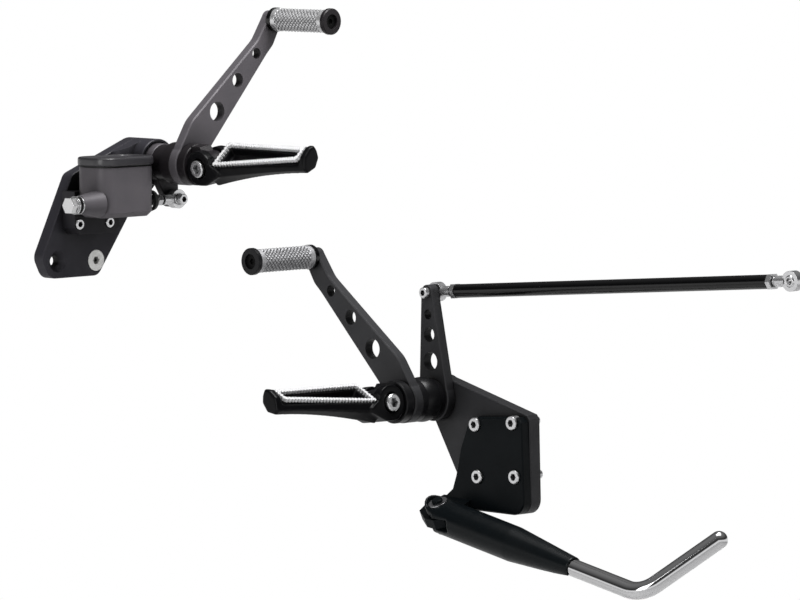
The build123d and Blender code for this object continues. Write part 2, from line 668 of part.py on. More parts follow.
right_outline = [(-84.0, -9.0), (-7.0, 20.9), (21.0, -6.0), (-13.7, -53.7), (-51.0, -106.0), (-112.0, -106.0),
                 (-122.0, -86.0)]
plate_out = -right_boss_h
with BuildPart() as gusset:
    with BuildSketch(Plane(origin=right_side(0).origin, x_dir=(0, -1, 0), z_dir=(-1, 0, 0))):
        with BuildLine():
            Polyline((plate_out + 14.0, 22.0), (plate_out + 14.0, 0.0), (plate_out, 0.0), (plate_out, 36.0))
            RadiusArc((plate_out, 36.0), (plate_out + 14.0, 22.0), 16.0)
        make_face()
    revolve(axis=Axis(right_side(0).origin, (0, -1, 0)))
    with BuildSketch(right_side(plate_out)):
        Polygon(*right_outline, align=None)
        Circle(22.0)
    extrude(amount=14.0, mode=Mode.INTERSECT)
with BuildPart() as right_bracket:
    with BuildSketch(right_side(plate_out)) as outline:
        Polygon(*right_outline, align=None)
        fillet(outline.vertices().sort_by_distance((-117.0, -96.0))[:2], 12)
        fillet(outline.vertices().sort_by_distance((-51.0, -106.0))[0], 11)
        fillet(outline.vertices().sort_by_distance((-84.0, -9.0))[0], 10)
        Circle(22.0)
    extrude(amount=-right_plate_t)
    chamfer(right_bracket.faces().sort_by(Axis.Y)[0].edges(), 0.8)
    with BuildSketch(right_side(plate_out)):
        Circle(22.0)
    extrude(amount=right_boss_h)
    chamfer(right_bracket.faces().sort_by(Axis.Y)[0].edges(), 0.8)
    add(gusset.part)
    with BuildSketch(right_side(0)):
        Circle(19.5)
        Circle(18.3, mode=Mode.SUBTRACT)
    extrude(amount=-1.5, mode=Mode.SUBTRACT)
    with BuildSketch(right_side(0)):
        Circle(spindle_tip_d / 2)
    extrude(amount=-spindle_root_l - 10.0, mode=Mode.SUBTRACT)
    with Locations(*[moved(right_side(plate_out), f, u).location for f, u in frame_holes]):
        CounterSinkHole(frame_screw_d / 2 + screw_gap, frame_screw_head_d / 2 + 0.3, right_plate_t, 90)
    with BuildSketch(right_side(plate_out)):
        with Locations(*flange_screws):
            Circle(flange_screw_d / 2 + seat_gap)
    extrude(amount=-10.0, mode=Mode.SUBTRACT)
save(right_bracket.part, "right_bracket")

frame_screw_past = 18.0
frame_screw_neck_d = 9.0
screw_top = moved(right_side(plate_out), *frame_holes[1])
with BuildPart() as frame_screw:
    with BuildSketch(screw_top):
        Circle(frame_screw_neck_d / 2)
    extrude(amount=-right_plate_t - side_gap)
    with BuildSketch(screw_top.offset(-right_plate_t - side_gap)):
        Circle(frame_screw_d / 2)
    extrude(amount=side_gap - frame_screw_past)
    with BuildSketch(screw_top):
        Circle(frame_screw_head_d / 2)
    extrude(amount=-(frame_screw_head_d - frame_screw_neck_d) / 2, taper=45)
    with BuildSketch(screw_top):
        RegularPolygon(3.5, 6, major_radius=False)
    extrude(amount=-5.0, mode=Mode.SUBTRACT)
save(frame_screw.part, "right_frame_screw")


# Right stack

right_spindle_l = right_arm_out + side_gap
with BuildPart() as right_spindle:
    with BuildSketch(right_side(0)):
        Circle(spindle_d / 2)
    extrude(amount=right_spindle_l)
    with BuildSketch(right_side(0)):
        Circle(spindle_tip_d / 2 - seat_gap)
    extrude(amount=-spindle_root_l - 9.0)
    with BuildSketch(right_side(right_spindle_l)):
        Circle(spindle_tip_d / 2 - seat_gap)
    extrude(amount=spindle_tip_l)
save(right_spindle.part, "right_spindle")
save(ring(right_side(side_gap), right_arm_out - side_gap, bush_d - 2 * seat_gap, spindle_d + 2 * running_gap),
     "right_bush")

with BuildPart() as brake_lever:
    with BuildSketch(right_side(side_gap)):
        Circle(18.0)
        Polygon((-16.0, -4.0), (push_eye[0] - 8.0, push_eye[1]), (push_eye[0] + 8.0, push_eye[1]), (17.5, -4.0),
                align=None)
        with Locations(push_eye):
            Circle(8.0)
    extrude(amount=brake_lever_t)
    chamfer(brake_lever.faces().sort_by(Axis.Y)[0].edges(), 0.8)
    with BuildSketch(right_side(side_gap)):
        Circle(bush_d / 2)
        with Locations(push_eye):
            Circle(joint_bolt_d / 2 + seat_gap)
    extrude(amount=brake_lever_t, mode=Mode.SUBTRACT)
save(brake_lever.part, "brake_lever")

brake_waist_l = 14.5
hub_in = side_gap + brake_lever_t
with BuildPart() as brake_hub:
    with BuildSketch(right_side(hub_in)):
        Circle(17.0)
    extrude(amount=brake_waist_l)
    with BuildSketch(right_side(hub_in + brake_waist_l)):
        Circle(arm_hub_r)
    extrude(amount=brake_hub_l - brake_waist_l)
    chamfer(brake_hub.edges().filter_by(GeomType.CIRCLE).filter_by(lambda e: e.radius > 19), 0.8)
    with BuildSketch(right_side(hub_in)):
        Circle(bush_d / 2)
    extrude(amount=brake_hub_l, mode=Mode.SUBTRACT)
save(brake_hub.part, "brake_hub")


# Master cylinder, with its bore along X

bore_out = hub_in + joint_ball_w / 2
bore_up = push_eye[1]
px, py, pz = right_pivot


def level(up):
    """Horizontal sketch plane of the right unit: x forward, y inward."""
    return Plane(origin=(px, py, pz + up), x_dir=(1, 0, 0), z_dir=(0, 0, 1))


def on_bore(forward):
    """Plane across the cylinder bore, facing forward."""
    return Plane(origin=(px + forward, py - bore_out, pz + bore_up), x_dir=(0, 1, 0), z_dir=(1, 0, 0))


def footprint(grow, radius):
    """Rounded outline of the reservoir, grown all round."""
    long = cyl_front - cyl_rear + 2 * grow
    wide = cyl_out - cyl_in + 2 * grow
    with BuildSketch() as outline:
        with Locations(((cyl_front + cyl_rear) / 2, -(cyl_out + cyl_in) / 2)):
            RectangleRounded(long, wide, radius)
    return outline.sketch


corner_r = 14.0
wall = 4.0
bore_rear = -80.0
outlet_end = -112.0
with BuildPart() as master_cylinder_body:
    with BuildSketch(level(cyl_bottom)):
        add(footprint(0, corner_r))
    extrude(amount=cyl_top - cyl_bottom)
    chamfer(master_cylinder_body.faces().sort_by(Axis.Z)[0].edges(), 4.5)
    with BuildSketch(right_side(plate_out)) as flange_outline:
        Polygon((flange_rear, flange_bottom + flange_corner), (flange_rear + flange_corner, flange_bottom),
                (flange_front - flange_corner, flange_bottom), (flange_front, flange_bottom + flange_corner),
                (flange_front, cyl_bottom / 2), (flange_rear, cyl_bottom / 2), align=None)
    extrude(amount=flange_t)
    with BuildSketch(on_bore(cyl_rear + 4.0)):
        Circle(13.0)
    with BuildSketch(on_bore(outlet_end)):
        Circle(8.8)
    loft()
    with BuildSketch(level(-22.0)):
        add(footprint(-wall, corner_r - wall))
    extrude(amount=30.0, mode=Mode.SUBTRACT)
    with BuildSketch(on_bore(cyl_front)):
        Circle(bore_d / 2)
    extrude(amount=bore_rear - cyl_front, mode=Mode.SUBTRACT)
    with BuildSketch(on_bore(outlet_end)):
        Circle(5.0)
    extrude(amount=14.0, mode=Mode.SUBTRACT)
    with BuildSketch(on_bore(outlet_end)):
        Circle(1.5)
    extrude(amount=40.0, mode=Mode.SUBTRACT)
    with BuildSketch(right_side(plate_out)):
        with Locations(*flange_screws):
            Circle(flange_screw_d / 2 + screw_gap)
    extrude(amount=flange_t, mode=Mode.SUBTRACT)
    with BuildSketch(right_side(plate_out + flange_t)):
        with Locations(*flange_screws):
            Circle(5.5)
    extrude(amount=-4.5, mode=Mode.SUBTRACT)
save(master_cylinder_body.part, "master_cylinder_body")

diaphragm_t = 1.5
with BuildPart() as reservoir_diaphragm:
    with BuildSketch(level(cyl_top)):
        add(footprint(-0.8, corner_r - 0.8))
    extrude(amount=diaphragm_t)
    with BuildSketch(level(cyl_top)):
        add(footprint(-wall - 0.5, corner_r - wall - 0.5))
    extrude(amount=-4.0)
    with BuildSketch(level(cyl_top + diaphragm_t)):
        add(footprint(-wall - 2.0, corner_r - wall - 2.0))
    extrude(amount=-4.0, mode=Mode.SUBTRACT)
save(reservoir_diaphragm.part, "reservoir_diaphragm")

cap_h = 8.0
cap_lip = 1.5
cap_in = cyl_top + diaphragm_t
with BuildPart() as reservoir_cap:
    with BuildSketch(level(cap_in)):
        add(footprint(cap_lip, corner_r + cap_lip))
    extrude(amount=cap_h)
    fillet(reservoir_cap.faces().sort_by(Axis.Z)[-1].edges(), 1.6)
    with BuildSketch(level(cap_in + cap_h)):
        add(footprint(-3.5, corner_r - 3.5))
    extrude(amount=-2.0, mode=Mode.SUBTRACT)
save(reservoir_cap.part, "reservoir_cap")

with BuildPart() as cylinder_screws:
    for forward, up in flange_screws:
        seat = moved(right_side(plate_out + flange_t - 4.5), forward, up)
        add(cap_screw(seat, 10.0, 6.0, flange_screw_d, flange_t - 4.5 + 9.5, 5.0))
save(cylinder_screws.part, "cylinder_screws")

piston_front = -32.0
piston_rear = -58.0
rod_tip_r = 3.0
with BuildPart() as piston:
    with BuildSketch(on_bore(piston_rear)):
        Circle(bore_d / 2 - running_gap)
    extrude(amount=piston_front - piston_rear)
    with BuildSketch(on_bore(piston_front)):
        Circle(5.5)
    extrude(amount=-6.0, mode=Mode.SUBTRACT)
    with BuildSketch(on_bore(piston_front - 12.0)):
        Circle(bore_d / 2)
        Circle(bore_d / 2 - 2.0, mode=Mode.SUBTRACT)
    extrude(amount=-2.5, mode=Mode.SUBTRACT)
save(piston.part, "piston")

wire_d = 1.4
spring_r = 5.2
with BuildPart() as return_spring:
    with BuildLine() as coil:
        Helix(pitch=3.6, height=piston_rear - bore_rear - wire_d - 0.4, radius=spring_r,
              center=on_bore(bore_rear + wire_d / 2 + 0.2).origin, direction=(1, 0, 0))
    coil_start = coil.wires()[0]
    with BuildSketch(Plane(origin=coil_start @ 0, z_dir=coil_start % 0)):
        Circle(wire_d / 2)
    sweep(path=coil_start)
save(return_spring.part, "return_spring")

push_start = push_eye[0] - joint_shank_from_eye - nut_t
push_joint = Plane(origin=(px + push_eye[0], py - bore_out, pz + push_eye[1]), x_dir=(-1, 0, 0), z_dir=(0, -1, 0))
push_thread_l = 9.0
save(joint_body(push_joint, joint_shank_from_eye + nut_t - joint_d / 2 + push_thread_l, 6.0), "pushrod_end")
save(joint_ball(push_joint), "pushrod_end_ball")
save(hex_nut(on_bore(push_start), nut_t, 10.0, 6.0 + 2 * seat_gap), "pushrod_nut")
push_neck = -29.0
push_tip = piston_front - 6.0 + 0.4
with BuildPart() as pushrod:
    with BuildSketch(on_bore(push_start)):
        Circle(5.0)
    extrude(amount=push_neck - push_start)
    with BuildSketch(on_bore(push_neck)):
        Circle(rod_tip_r)
    extrude(amount=push_tip + rod_tip_r - push_neck)
    with Locations(on_bore(push_tip + rod_tip_r).origin):
        Sphere(rod_tip_r)
    with BuildSketch(on_bore(push_start)):
        Circle(3.0 + seat_gap)
    extrude(amount=-push_thread_l - 0.5, mode=Mode.SUBTRACT)
save(pushrod.part, "pushrod")

boot_l = 4.0
with BuildPart() as dust_boot:
    with BuildSketch(on_bore(cyl_front)):
        Circle(10.5)
    extrude(amount=boot_l, taper=14)
    with BuildSketch(on_bore(cyl_front)):
        Circle(7.2)
    extrude(amount=boot_l, mode=Mode.SUBTRACT)
save(dust_boot.part, "dust_boot")

push_seat = moved(right_side(hub_in + joint_ball_w), *push_eye)
save(cap_screw(push_seat, 10.0, 6.0, joint_bolt_d, joint_ball_w + brake_lever_t, 5.0), "pushrod_bolt")

washer_t = 1.5
hose_gap = 3.5
outlet_head = outlet_end - 2 * washer_t - hose_gap
outlet_thread_d = 10.0
with BuildPart() as outlet_bolt:
    with BuildSketch(on_bore(outlet_head)):
        Circle(8.0)
    extrude(amount=-1.5)
    with BuildSketch(on_bore(outlet_head - 1.5)):
        RegularPolygon(7.0, 6, major_radius=False)
    extrude(amount=-6.0)
    with BuildSketch(on_bore(outlet_head)):
        Circle(outlet_thread_d / 2 - seat_gap)
    extrude(amount=outlet_end - outlet_head + 12.0)
save(outlet_bolt.part, "outlet_bolt")
with BuildPart() as outlet_washers:
    for start in (outlet_end - washer_t, outlet_head):
        add(ring(on_bore(start), washer_t, 17.0, outlet_thread_d + 2 * seat_gap))
save(outlet_washers.part, "outlet_washers")
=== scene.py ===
import json
import math

import bpy
import numpy as np
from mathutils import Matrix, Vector


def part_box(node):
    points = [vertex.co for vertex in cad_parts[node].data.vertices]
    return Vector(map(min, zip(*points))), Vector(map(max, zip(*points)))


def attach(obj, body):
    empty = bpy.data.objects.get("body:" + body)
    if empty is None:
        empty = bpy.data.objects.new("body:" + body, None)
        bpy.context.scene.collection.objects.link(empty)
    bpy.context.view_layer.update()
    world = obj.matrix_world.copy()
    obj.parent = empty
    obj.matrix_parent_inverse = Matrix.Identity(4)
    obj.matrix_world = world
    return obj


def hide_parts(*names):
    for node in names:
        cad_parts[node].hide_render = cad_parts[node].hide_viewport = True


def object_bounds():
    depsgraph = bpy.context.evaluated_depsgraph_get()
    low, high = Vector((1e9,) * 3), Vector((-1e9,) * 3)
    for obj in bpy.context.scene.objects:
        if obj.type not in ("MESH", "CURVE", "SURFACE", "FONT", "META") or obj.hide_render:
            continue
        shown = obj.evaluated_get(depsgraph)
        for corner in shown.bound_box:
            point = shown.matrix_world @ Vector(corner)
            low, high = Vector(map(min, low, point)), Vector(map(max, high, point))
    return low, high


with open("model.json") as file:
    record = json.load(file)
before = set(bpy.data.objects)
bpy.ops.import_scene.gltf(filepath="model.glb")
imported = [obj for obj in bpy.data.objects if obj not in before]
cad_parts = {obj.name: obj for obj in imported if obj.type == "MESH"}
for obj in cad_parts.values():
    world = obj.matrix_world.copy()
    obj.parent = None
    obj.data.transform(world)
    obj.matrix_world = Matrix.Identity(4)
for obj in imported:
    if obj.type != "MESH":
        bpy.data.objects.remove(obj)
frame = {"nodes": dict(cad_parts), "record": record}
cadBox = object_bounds()
nodes = frame["nodes"]
record = frame["record"]
bodyOf = {node: body for body, members in record["behaviour"]["bodies"].items() for node in members}
slotOf = {part["node"]: part["material_slot"] for part in record["subparts"]}
print("frame loaded:", len(nodes), "nodes")

mm = 0.001


# Colours and nodes

def linearColour(hexText):
    parts = [int(hexText[i:i + 2], 16) / 255 for i in (1, 3, 5)]
    linear = [part / 12.92 if part <= 0.04045 else ((part + 0.055) / 1.055) ** 2.4 for part in parts]
    return tuple(linear) + (1.0,)


def addNode(tree, kind, settings=None, **links):
    # A setting's key is an input's name or number, or else a property; a link's key is an input's name, or i
    # and the input's number
    node = tree.nodes.new(kind)
    for name, value in (settings or {}).items():
        if isinstance(name, int) or name in node.inputs:
            node.inputs[name].default_value = value
        else:
            setattr(node, name, value)
    for name, source in links.items():
        socket = int(name[1:]) if name[1:].isdigit() else name
        tree.links.new(source, node.inputs[socket])
    return node


# What every finish shares, unless it says otherwise
surface = {
    "cloudMm": 30.0, "cloudDetail": 3.0, "cloudLow": 0.3, "cloudHigh": 0.7,  # slow change of tone and shine
    "roughnessSpread": 0.15,
    "specular": 0.5,
    "edgeMm": 0.5, "edgeSamples": 4,  # how far an edge is rounded in the shading
    "paintedShadeFrom": 0.35, "paintedShadeTo": 0.8, "paintedShadeTone": 0.04, "paintedShadeSamples": 8,  # painted shade: how a recess or a gap between close parts is darkened
    "ringStretch": 0.01,  # a turning mark's width along the shaft, as a share of its length round it
}

# Bead-blasted and anodised aluminium: soft, wide highlights, with painted shade where pieces stand close
# together
blasted = {
    "metallic": 0.15, "roughness": 0.48, "grainMm": 0.5, "bumpMm": 0.02, "specular": 0.2,
    "paintedShadeMm": 30.0, "paintedShadeFrom": 0.3, "paintedShadeTo": 1.0,
}

# Turned on a lathe, then anodised: fine rings round the shaft
latheTurned = {"metallic": 0.15, "roughness": 0.4, "grainMm": 0.6, "bumpMm": 0.06, "specular": 0.25}

# Every finish: what it is made of, how its surface was made, and what that gives the eye
finishes = {
    "anodisedBrownAluminium": {  # a warm brown cast
        "colour": "#5f5b5f", "shade": "#525054", **blasted},
    "brownAluminiumWithPaintedFlangeShade": {  # the brake cylinder: brown, with painted shade colouring its mounting flange nearly black, the shade of the reservoir over it
        "colour": "#5f5b5f", "shade": "#525054", **blasted,
        "flangeShadeColour": "#2b2a2e", "flangeOf": "master_cylinder_body", "flangeShadeMm": 17.5},
    "anodisedCharcoalAluminium": {  # a darker, cooler dye on the brake side's bracket
        "colour": "#38373d", "shade": "#2c2b30", **blasted},
    "anodisedBlackAluminium": {  # dyed neutral black
        "colour": "#39393b", "shade": "#303032", **blasted, "roughness": 0.46},
    "turnedBrownAluminium": {  # on the brake side, whose shaft lies along Y
        "colour": "#211d20", "shade": "#181618", **latheTurned, "ringAxis": 1},
    "turnedBlackAluminium": {  # on the shift side, whose shaft lies along X
        "colour": "#151517", "shade": "#0f0f11", **latheTurned, "roughness": 0.38, "ringAxis": 0},
    "powderCoatBlackSteel": {  # baked powder: smooth satin with a slight blue sheen and orange peel
        "colour": "#0a0f12", "shade": "#070a0c",
        "metallic": 0.0, "roughness": 0.4, "grainMm": 2.5, "bumpMm": 0.03, "specular": 0.08},
    "satinBlackPeg": {  # cast, polished and painted: smooth satin black
        "colour": "#09090b", "shade": "#060608",
        "metallic": 0.0, "roughness": 0.34, "grainMm": 2.0, "bumpMm": 0.015, "specular": 0.12},
    "mouldedBlackNylon": {  # the cap: moulded with round edges that each catch a highlight
        "colour": "#39383b", "shade": "#2b2a2d",
        "metallic": 0.0, "roughness": 0.3, "grainMm": 1.5, "bumpMm": 0.01, "edgeMm": 1.4},
    "enamelledSteelTube": {  # sprayed over a smooth turned tube: a broad soft streak along it
        "colour": "#0b1013", "shade": "#080c0e",
        "metallic": 0.0, "roughness": 0.33, "grainMm": 3.0, "bumpMm": 0.01, "specular": 0.15},
    "glossBlackEnamel": {  # sprayed enamel on a drawn tube: one long sharp highlight
        "colour": "#050506", "shade": "#040405",
        "metallic": 0.0, "roughness": 0.16, "grainMm": 4.0, "bumpMm": 0.004, "specular": 0.35},
    "boreShadeBlackSteel": {  # painted shade: the toe bolts near black and dull, almost no light comes back, as the shade of the deep bore they sit in
        "colour": "#040404", "shade": "#030303",
        "metallic": 0.0, "roughness": 0.6, "grainMm": 0.6, "bumpMm": 0.01, "specular": 0.15},
    "machinedAluminium": {  # bare aluminium cut into diamonds, drawn coarser than real so that they show
        "colour": "#f4f4f4", "shade": "#eaeaec",
        "metallic": 0.3, "roughness": 0.45, "grainMm": 0.9, "bumpMm": 0.01,
        # painted shade darkens the tread where its teeth close in
        "diamondMm": 2.6, "diamondDepthMm": 0.5, "paintedShadeMm": 2.5},
    "brightZincSteel": {  # zinc plated steel: bright grey, a little soft, with painted shade in its sockets
        "colour": "#dadada", "shade": "#c4c4c7",
        "metallic": 0.9, "roughness": 0.26, "grainMm": 0.8, "bumpMm": 0.01, "paintedShadeMm": 5.0},
    "satinStainlessSteel": {  # brushed stainless: pale and even, with painted shade in its socket
        "colour": "#f0f0ee", "shade": "#dededc",
        "metallic": 0.5, "roughness": 0.42, "grainMm": 0.5, "bumpMm": 0.02, "paintedShadeMm": 5.0},
    "polishedChrome": {  # plated and buffed: mirror
        "colour": "#cfcfcf", "shade": "#c9c9cb",
        "metallic": 1.0, "roughness": 0.06, "grainMm": 6.0, "bumpMm": 0.002},
    "knurledChrome": {  # rolled knurl, then plated: bright points between grooves darkened by painted shade
        "colour": "#dedede", "shade": "#d6d6d8",
        "metallic": 0.8, "roughness": 0.36, "grainMm": 0.6, "bumpMm": 0.01, "grooveShadeColour": "#58585a"},
    "knurledChromeShadedCopy": {  # the same knurl, rougher, in a darker copy whose colour is painted shade against the shift side's strong lamp
        "colour": "#b2b2b4", "shade": "#a9a9ab",
        "metallic": 0.6, "roughness": 0.5, "grainMm": 0.6, "bumpMm": 0.01, "grooveShadeColour": "#5a5a5c"},
    "turnedBronze": {  # turned bush metal, warm and dull
        "colour": "#9c7a46", "shade": "#876838",
        "metallic": 1.0, "roughness": 0.35, "grainMm": 0.5, "bumpMm": 0.01},
    "groundSteel": {  # ground shaft steel: grey, with a soft shine
        "colour": "#a9a9ab", "shade": "#949496",
        "metallic": 1.0, "roughness": 0.3, "grainMm": 0.4, "bumpMm": 0.01},
    "mouldedRubber": {  # moulded nitrile: dull black
        "colour": "#101010", "shade": "#0b0b0b",
        "metallic": 0.0, "roughness": 0.7, "grainMm": 0.8, "bumpMm": 0.03},
}


def diamondHeight(tree, where, pitch):
    # The lower of two crossing sine waves without their signs, along X + Y and along X - Y
    waves = []
    for direction in ((1, 1, 0), (1, -1, 0)):
        scaled = [part * math.pi / pitch for part in direction]
        along = addNode(tree, "ShaderNodeVectorMath", {"operation": "DOT_PRODUCT", 1: scaled}, i0=where)
        wave = addNode(tree, "ShaderNodeMath", {"operation": "SINE"}, i0=along.outputs["Value"])
        unsigned = addNode(tree, "ShaderNodeMath", {"operation": "ABSOLUTE"}, i0=wave.outputs[0])
        waves.append(unsigned.outputs[0])
    return addNode(tree, "ShaderNodeMath", {"operation": "MINIMUM"}, i0=waves[0], i1=waves[1]).outputs[0]


def colourOf(tree, look, where, cloud):
    # The finish's own two tones, then the painted shade on its flange, in its recesses and in its grooves
    # where it has them
    tone = addNode(tree, "ShaderNodeMix", {
        "data_type": "RGBA", 6: linearColour(look["colour"]), 7: linearColour(look["shade"])}, i0=cloud)
    colour = tone.outputs[2]
    # Painted shade: from the flange back the colour turns nearly black
    if "flangeShadeColour" in look:
        inward = addNode(tree, "ShaderNodeSeparateXYZ", None, Vector=where).outputs["Y"]
        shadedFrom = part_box(look["flangeOf"])[1][1] - look["flangeShadeMm"] * mm
        onFlange = addNode(tree, "ShaderNodeMath", {"operation": "GREATER_THAN", 1: shadedFrom}, i0=inward)
        withFlangeShade = addNode(tree, "ShaderNodeMix", {
            "data_type": "RGBA", 7: linearColour(look["flangeShadeColour"])}, i0=onFlange.outputs[0], i6=colour)
        colour = withFlangeShade.outputs[2]
    # Painted shade: the colour is darkened where the occlusion finds other surfaces close by
    if "paintedShadeMm" in look:
        openness = addNode(tree, "ShaderNodeAmbientOcclusion", {
            "samples": look["paintedShadeSamples"], "Distance": look["paintedShadeMm"] * mm})
        opened = addNode(tree, "ShaderNodeMapRange", {
            "From Min": look["paintedShadeFrom"], "From Max": look["paintedShadeTo"], "To Min": look["paintedShadeTone"],
            "To Max": 1.0}, Value=openness.outputs["AO"])
        darker = addNode(tree, "ShaderNodeVectorMath", {"operation": "SCALE"}, i0=colour,
                         Scale=opened.outputs["Result"])
        colour = darker.outputs["Vector"]
    # Painted shade: the colour turns darker with the groove's depth
    if "grooveShadeColour" in look:
        depth = addNode(tree, "ShaderNodeAttribute", {"attribute_name": "grooveDepth"}).outputs["Fac"]
        shadedGroove = addNode(tree, "ShaderNodeMix", {
            "data_type": "RGBA", 7: linearColour(look["grooveShadeColour"])}, i0=depth, i6=colour)
        colour = shadedGroove.outputs[2]
    return colour


def normalOf(tree, look, where):
    # Rounded edges, then the diamonds where the finish has them, then the grain
    edge = addNode(tree, "ShaderNodeBevel", {"samples": look["edgeSamples"], "Radius": look["edgeMm"] * mm})
    normal = edge.outputs["Normal"]
    if "diamondMm" in look:
        cut = diamondHeight(tree, where, look["diamondMm"] * mm)
        diamonds = addNode(tree, "ShaderNodeBump", {"Distance": look["diamondDepthMm"] * mm},
                           Height=cut, Normal=normal)
        normal = diamonds.outputs["Normal"]
    stretch = [1 / (look["grainMm"] * mm)] * 3
    if "ringAxis" in look:
        stretch = [scale * (1.0 if axis == look["ringAxis"] else look["ringStretch"])
                   for axis, scale in enumerate(stretch)]
    spaced = addNode(tree, "ShaderNodeVectorMath", {"operation": "MULTIPLY", 1: stretch}, i0=where)
    grain = addNode(tree, "ShaderNodeTexNoise", {"Scale": 1.0}, Vector=spaced.outputs["Vector"])
    rough = addNode(tree, "ShaderNodeBump", {"Distance": look["bumpMm"] * mm},
                    Height=grain.outputs["Fac"], Normal=normal)
    return rough.outputs["Normal"]


def makeMaterial(name, look):
    material = bpy.data.materials.new(name)
    material.use_nodes = True
    tree = material.node_tree
    shader = tree.nodes["Principled BSDF"]
    where = addNode(tree, "ShaderNodeTexCoord").outputs["Object"]
    cloud = addNode(tree, "ShaderNodeTexNoise", {
        "Scale": 1 / (look["cloudMm"] * mm), "Detail": look["cloudDetail"]}, Vector=where).outputs["Fac"]
    spread = addNode(tree, "ShaderNodeMapRange", {
        "From Min": look["cloudLow"], "From Max": look["cloudHigh"],
        "To Min": look["roughness"] * (1 - look["roughnessSpread"]),
        "To Max": look["roughness"] * (1 + look["roughnessSpread"])}, Value=cloud)
    tree.links.new(colourOf(tree, look, where, cloud), shader.inputs["Base Color"])
    tree.links.new(spread.outputs["Result"], shader.inputs["Roughness"])
    tree.links.new(normalOf(tree, look, where), shader.inputs["Normal"])
    shader.inputs["Metallic"].default_value = look["metallic"]
    shader.inputs["Specular IOR Level"].default_value = look["specular"]
    return material


materials = {name: makeMaterial(name, {**surface, **look}) for name, look in finishes.items()}
slotFinish = {
    "bracket_black": "anodisedBlackAluminium", "bracket_brown": "anodisedBrownAluminium",
    "plate_black": "powderCoatBlackSteel", "peg_black": "satinBlackPeg", "tread_silver": "machinedAluminium",
    "steel_bright": "brightZincSteel", "chrome_rod": "polishedChrome", "gloss_black": "glossBlackEnamel",
    "bronze": "turnedBronze", "rubber": "mouldedRubber", "plain_steel": "groundSteel",
}
nodeFinish = {  # nodes whose finish differs from their slot's
    "shift_collar": "turnedBlackAluminium", "shift_sleeve": "turnedBlackAluminium",
    "left_peg_mount": "turnedBlackAluminium", "shift_toe_end_ring": "turnedBlackAluminium",
    "brake_hub": "turnedBrownAluminium", "right_peg_mount": "turnedBrownAluminium",
    "brake_toe_end_ring": "turnedBrownAluminium", "right_bracket": "anodisedCharcoalAluminium",
    # the brake cylinder takes painted shade on its flange
    "master_cylinder_body": "brownAluminiumWithPaintedFlangeShade", "reservoir_cap": "mouldedBlackNylon",
    # the toe bolts are painted near black as the shade of their bores
    "right_frame_screw": "satinStainlessSteel", "shift_toe_bolt": "boreShadeBlackSteel",
    "brake_toe_bolt": "boreShadeBlackSteel", "kickstand_barrel": "enamelledSteelTube",
    "kickstand_clips": "groundSteel", "kickstand_pin": "powderCoatBlackSteel",
}
for nodeName, node in nodes.items():
    node.data.materials.clear()
    node.data.materials.append(materials[nodeFinish.get(nodeName, slotFinish[slotOf[nodeName]])])
print("materials assigned")


# Castings, whose edges the mould leaves round

casting = {
    "nodes": ("left_peg_body", "right_peg_body", "kickstand_barrel", "reservoir_cap"),
    "mergeMm": 0.01, "voxelMm": 0.75, "smoothSteps": 14,
}


def roundEdges(nodeName):
    # A fine even skin over the solid, then each point moved step by step toward the middle of its neighbours
    node = nodes[nodeName]
    merge = node.modifiers.new("merge", "WELD")
    merge.merge_threshold = casting["mergeMm"] * mm
    skin = node.modifiers.new("skin", "REMESH")
    skin.mode = "VOXEL"
    skin.voxel_size = casting["voxelMm"] * mm
    skin.use_smooth_shade = True
    soften = node.modifiers.new("soften", "SMOOTH")
    soften.iterations = casting["smoothSteps"]


for nodeName in casting["nodes"]:
    roundEdges(nodeName)
print("castings rounded")


# Surfaces worked out by a formula. In it, down goes from 0 to 1 along a piece and turned from 0 to 1 round it

def tubeMesh(name, points):
    # Points on a grid, a row for each step along and a column for each step round, become quads;
    # the last column joins the first
    rows, columns = points.shape[:2]
    index = np.arange(rows * columns).reshape(rows, columns)
    nextColumn = np.roll(index, -1, axis=1)
    faces = np.stack([index[:-1], nextColumn[:-1], nextColumn[1:], index[1:]], axis=-1).reshape(-1, 4)
    mesh = bpy.data.meshes.new(name)
    mesh.from_pydata(points.reshape(-1, 3).tolist(), [], faces.tolist())
    piece = bpy.data.objects.new(name, mesh)
    bpy.context.scene.collection.objects.link(piece)
    return piece


# Knurled toe sleeves

knurl = {
    "pitchMm": 4.2, "depthMm": 0.8,  # several times coarser than the real knurl, so that it shows
    "samplesPerDiamond": 10,
    "bandMm": 5.5, "runOutMm": 0.4,  # the plain band at each end, and the length over which the knurl deepens
    "chamferMm": 0.5, "boreShare": 0.4,  # each end's edge, and the hole in it as a share of the radius
}


